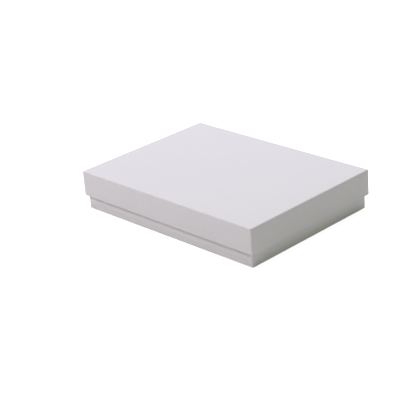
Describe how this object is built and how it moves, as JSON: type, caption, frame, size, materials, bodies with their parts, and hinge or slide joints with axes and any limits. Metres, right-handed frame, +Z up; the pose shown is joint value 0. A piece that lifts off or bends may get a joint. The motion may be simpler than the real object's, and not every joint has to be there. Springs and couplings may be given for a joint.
{
  "type": "jewelry gift box",
  "caption": "Flat rectangular lift-off-lid gift box of paper-covered board, with a fibre pad in its base to cushion jewelry.",
  "frame": {"origin": "middle of the underside of the base, on the surface that the closed box stands on", "axes": "+X along the long side, to the right of someone facing the front; -Y towards the front; +Z up, the way the lid lifts off"},
  "size_m": [0.138, 0.1, 0.0243],
  "materials": {
    "base_board": "bare grey chipboard",
    "base_stay_front_left": "gummed kraft tape",
    "base_stay_front_right": "gummed kraft tape",
    "base_stay_back_left": "gummed kraft tape",
    "base_stay_back_right": "gummed kraft tape",
    "base_wrap": "smooth matte white",
    "fibre_pad": "bonded white fibre",
    "lid_board": "bare grey chipboard",
    "lid_stay_front_left": "gummed kraft tape",
    "lid_stay_front_right": "gummed kraft tape",
    "lid_stay_back_left": "gummed kraft tape",
    "lid_stay_back_right": "gummed kraft tape",
    "lid_wrap": "smooth matte white"
  },
  "bodies": {
    "base": {"base_board": "base_board", "base_stay_front_left": "base_stay_front_left", "base_stay_front_right": "base_stay_front_right", "base_stay_back_left": "base_stay_back_left", "base_stay_back_right": "base_stay_back_right", "base_wrap": "base_wrap"},
    "pad": {"fibre_pad": "fibre_pad"},
    "lid": {"lid_board": "lid_board", "lid_stay_front_left": "lid_stay_front_left", "lid_stay_front_right": "lid_stay_front_right", "lid_stay_back_left": "lid_stay_back_left", "lid_stay_back_right": "lid_stay_back_right", "lid_wrap": "lid_wrap"}
  },
  "joints": [
    {"name": "lid_lift", "type": "slide", "parent": "base", "child": "lid", "axis": [0, 0, 1], "range_m": [0, 0.08]},
    {"name": "pad_lift", "type": "slide", "parent": "base", "child": "pad", "axis": [0, 0, 1], "range_m": [0, 0.004]}
  ]
}
